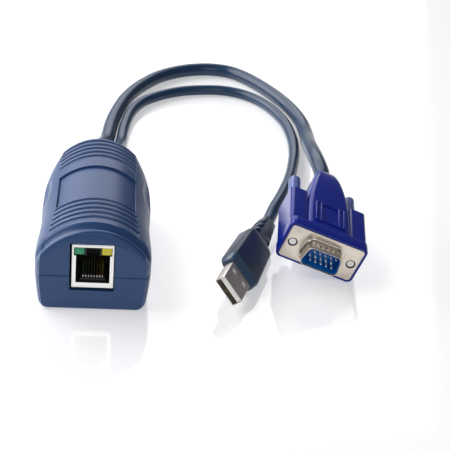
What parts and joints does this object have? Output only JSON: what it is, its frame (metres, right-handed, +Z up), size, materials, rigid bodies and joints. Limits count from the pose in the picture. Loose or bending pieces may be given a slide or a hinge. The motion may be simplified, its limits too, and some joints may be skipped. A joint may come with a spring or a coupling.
{
  "type": "server interface module",
  "caption": "Moulded module with a network jack in front and two captive leads that end in a screw-down video plug and a flat serial plug.",
  "frame": {"origin": "middle of the underside of the housing with its leads and plugs left out, on the table", "axes": "+X to the right of the jack face, +Y from the jack face to the end where the leads leave, +Z up"},
  "size_m": [0.1307, 0.2472, 0.0334],
  "materials": {
    "shell_blue": "satin",
    "steel": "satin",
    "board_green": "gloss",
    "nickel": "satin",
    "black_plastic": "satin",
    "gold": "polished",
    "lamp_green": "gloss",
    "lamp_amber": "gloss",
    "aluminium": "satin",
    "ferrite": "matt",
    "ceramic": "matt",
    "ivory_plastic": "satin",
    "wire_red": "matt",
    "wire_blue": "matt",
    "cord_navy": "satin",
    "hood_blue": "gloss",
    "insulator_blue": "gloss",
    "knob_plastic": "gloss",
    "grip_navy": "satin",
    "tongue_plastic": "satin"
  },
  "bodies": {
    "housing": {"upper_shell": "shell_blue", "lower_shell": "shell_blue", "case_screws": "steel", "circuit_board": "board_green", "jack_shield": "nickel", "jack_insert": "black_plastic", "jack_pins": "steel", "lamp_green": "lamp_green", "lamp_amber": "lamp_amber", "main_chip": "black_plastic", "video_chip": "black_plastic", "memory_chip": "black_plastic", "crystal": "steel", "capacitors": "aluminium", "coils": "ferrite", "small_parts": "ceramic", "video_header": "ivory_plastic", "serial_header": "ivory_plastic", "video_wires": "wire_red", "serial_wires": "wire_blue", "video_gland": "cord_navy", "serial_gland": "cord_navy", "video_cord": "cord_navy", "serial_cord": "cord_navy", "video_hood": "hood_blue", "video_front_shell": "nickel", "video_insulator": "insulator_blue", "video_pins": "gold", "serial_grip": "grip_navy", "serial_shell": "nickel", "serial_tongue": "tongue_plastic", "serial_contacts": "gold"},
    "contact_set": {"jack_contacts": "gold"},
    "left_slider": {"left_retainer": "steel"},
    "left_screw": {"left_knob": "knob_plastic", "left_jackscrew": "steel"},
    "right_slider": {"right_retainer": "steel"},
    "right_screw": {"right_knob": "knob_plastic", "right_jackscrew": "steel"}
  },
  "joints": [
    {"name": "contact_bend", "type": "hinge", "parent": "housing", "child": "contact_set", "pos_m": [0, -0.03835, 0.01195], "axis": [1, 0, 0], "range_deg": [-8, 0], "stiffness_Nm_per_rad": 0.02, "springref_deg": 2.86},
    {"name": "left_screw_slide", "type": "slide", "parent": "housing", "child": "left_slider", "axis": [-0.1143, -0.9879, -0.1045], "range_m": [0, 0.005]},
    {"name": "left_screw_turn", "type": "hinge", "parent": "left_slider", "child": "left_screw", "pos_m": [0.07775, -0.00398, 0.01815], "axis": [0.1143, 0.9879, 0.1045], "continuous": true},
    {"name": "right_screw_slide", "type": "slide", "parent": "housing", "child": "right_slider", "axis": [-0.1143, -0.9879, -0.1045], "range_m": [0, 0.005]},
    {"name": "right_screw_turn", "type": "hinge", "parent": "right_slider", "child": "right_screw", "pos_m": [0.10133, -0.00586, 0.01005], "axis": [0.1143, 0.9879, 0.1045], "continuous": true}
  ]
}
